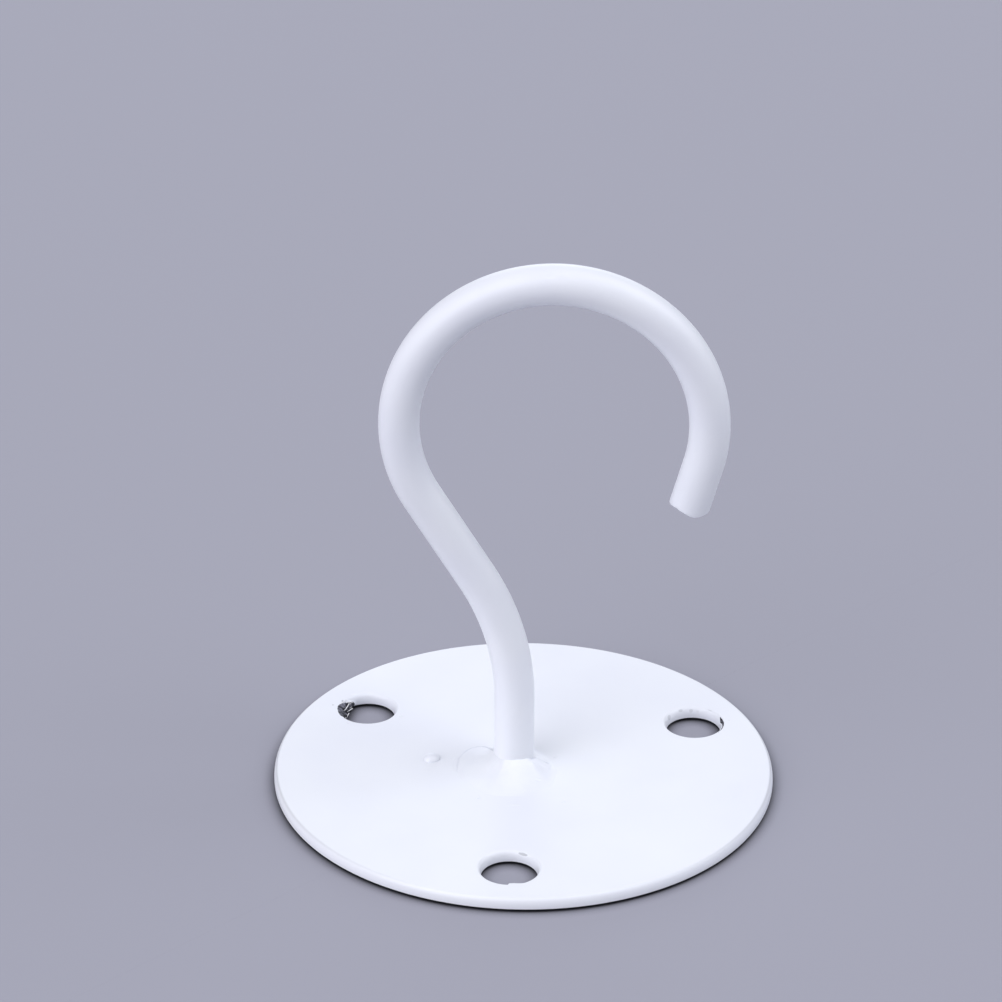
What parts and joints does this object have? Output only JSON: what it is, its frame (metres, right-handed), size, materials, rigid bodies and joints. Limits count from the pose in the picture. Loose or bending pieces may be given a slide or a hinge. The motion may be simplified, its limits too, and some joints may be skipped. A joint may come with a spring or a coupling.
{
  "type": "ceiling hook",
  "caption": "Open round hook of bent rod, welded on a round screw-down plate, for hanging things from a ceiling. White coated steel.",
  "frame": {"origin": "middle of the plate's back face, the face that lies on the ceiling, and the bottom of the part as modelled", "axes": "+Z out of the plate, along the rod's stem, so it points down in use; the rod is bent in a plane parallel to XZ, and the hook's mouth opens towards +X"},
  "size_m": [0.05, 0.05, 0.0557],
  "materials": {
    "coated_plate": "smooth glossy white powder coat on sheet steel, with worn hole edges",
    "coated_rod": "smooth glossy white powder coat on drawn steel rod",
    "coated_weld": "smooth glossy white powder coat over uneven weld metal"
  },
  "bodies": {
    "root": {"mounting_plate": "coated_plate", "hook_rod": "coated_rod", "weld_bead": "coated_weld", "weld_spatter": "coated_weld"}
  },
  "joints": []
}
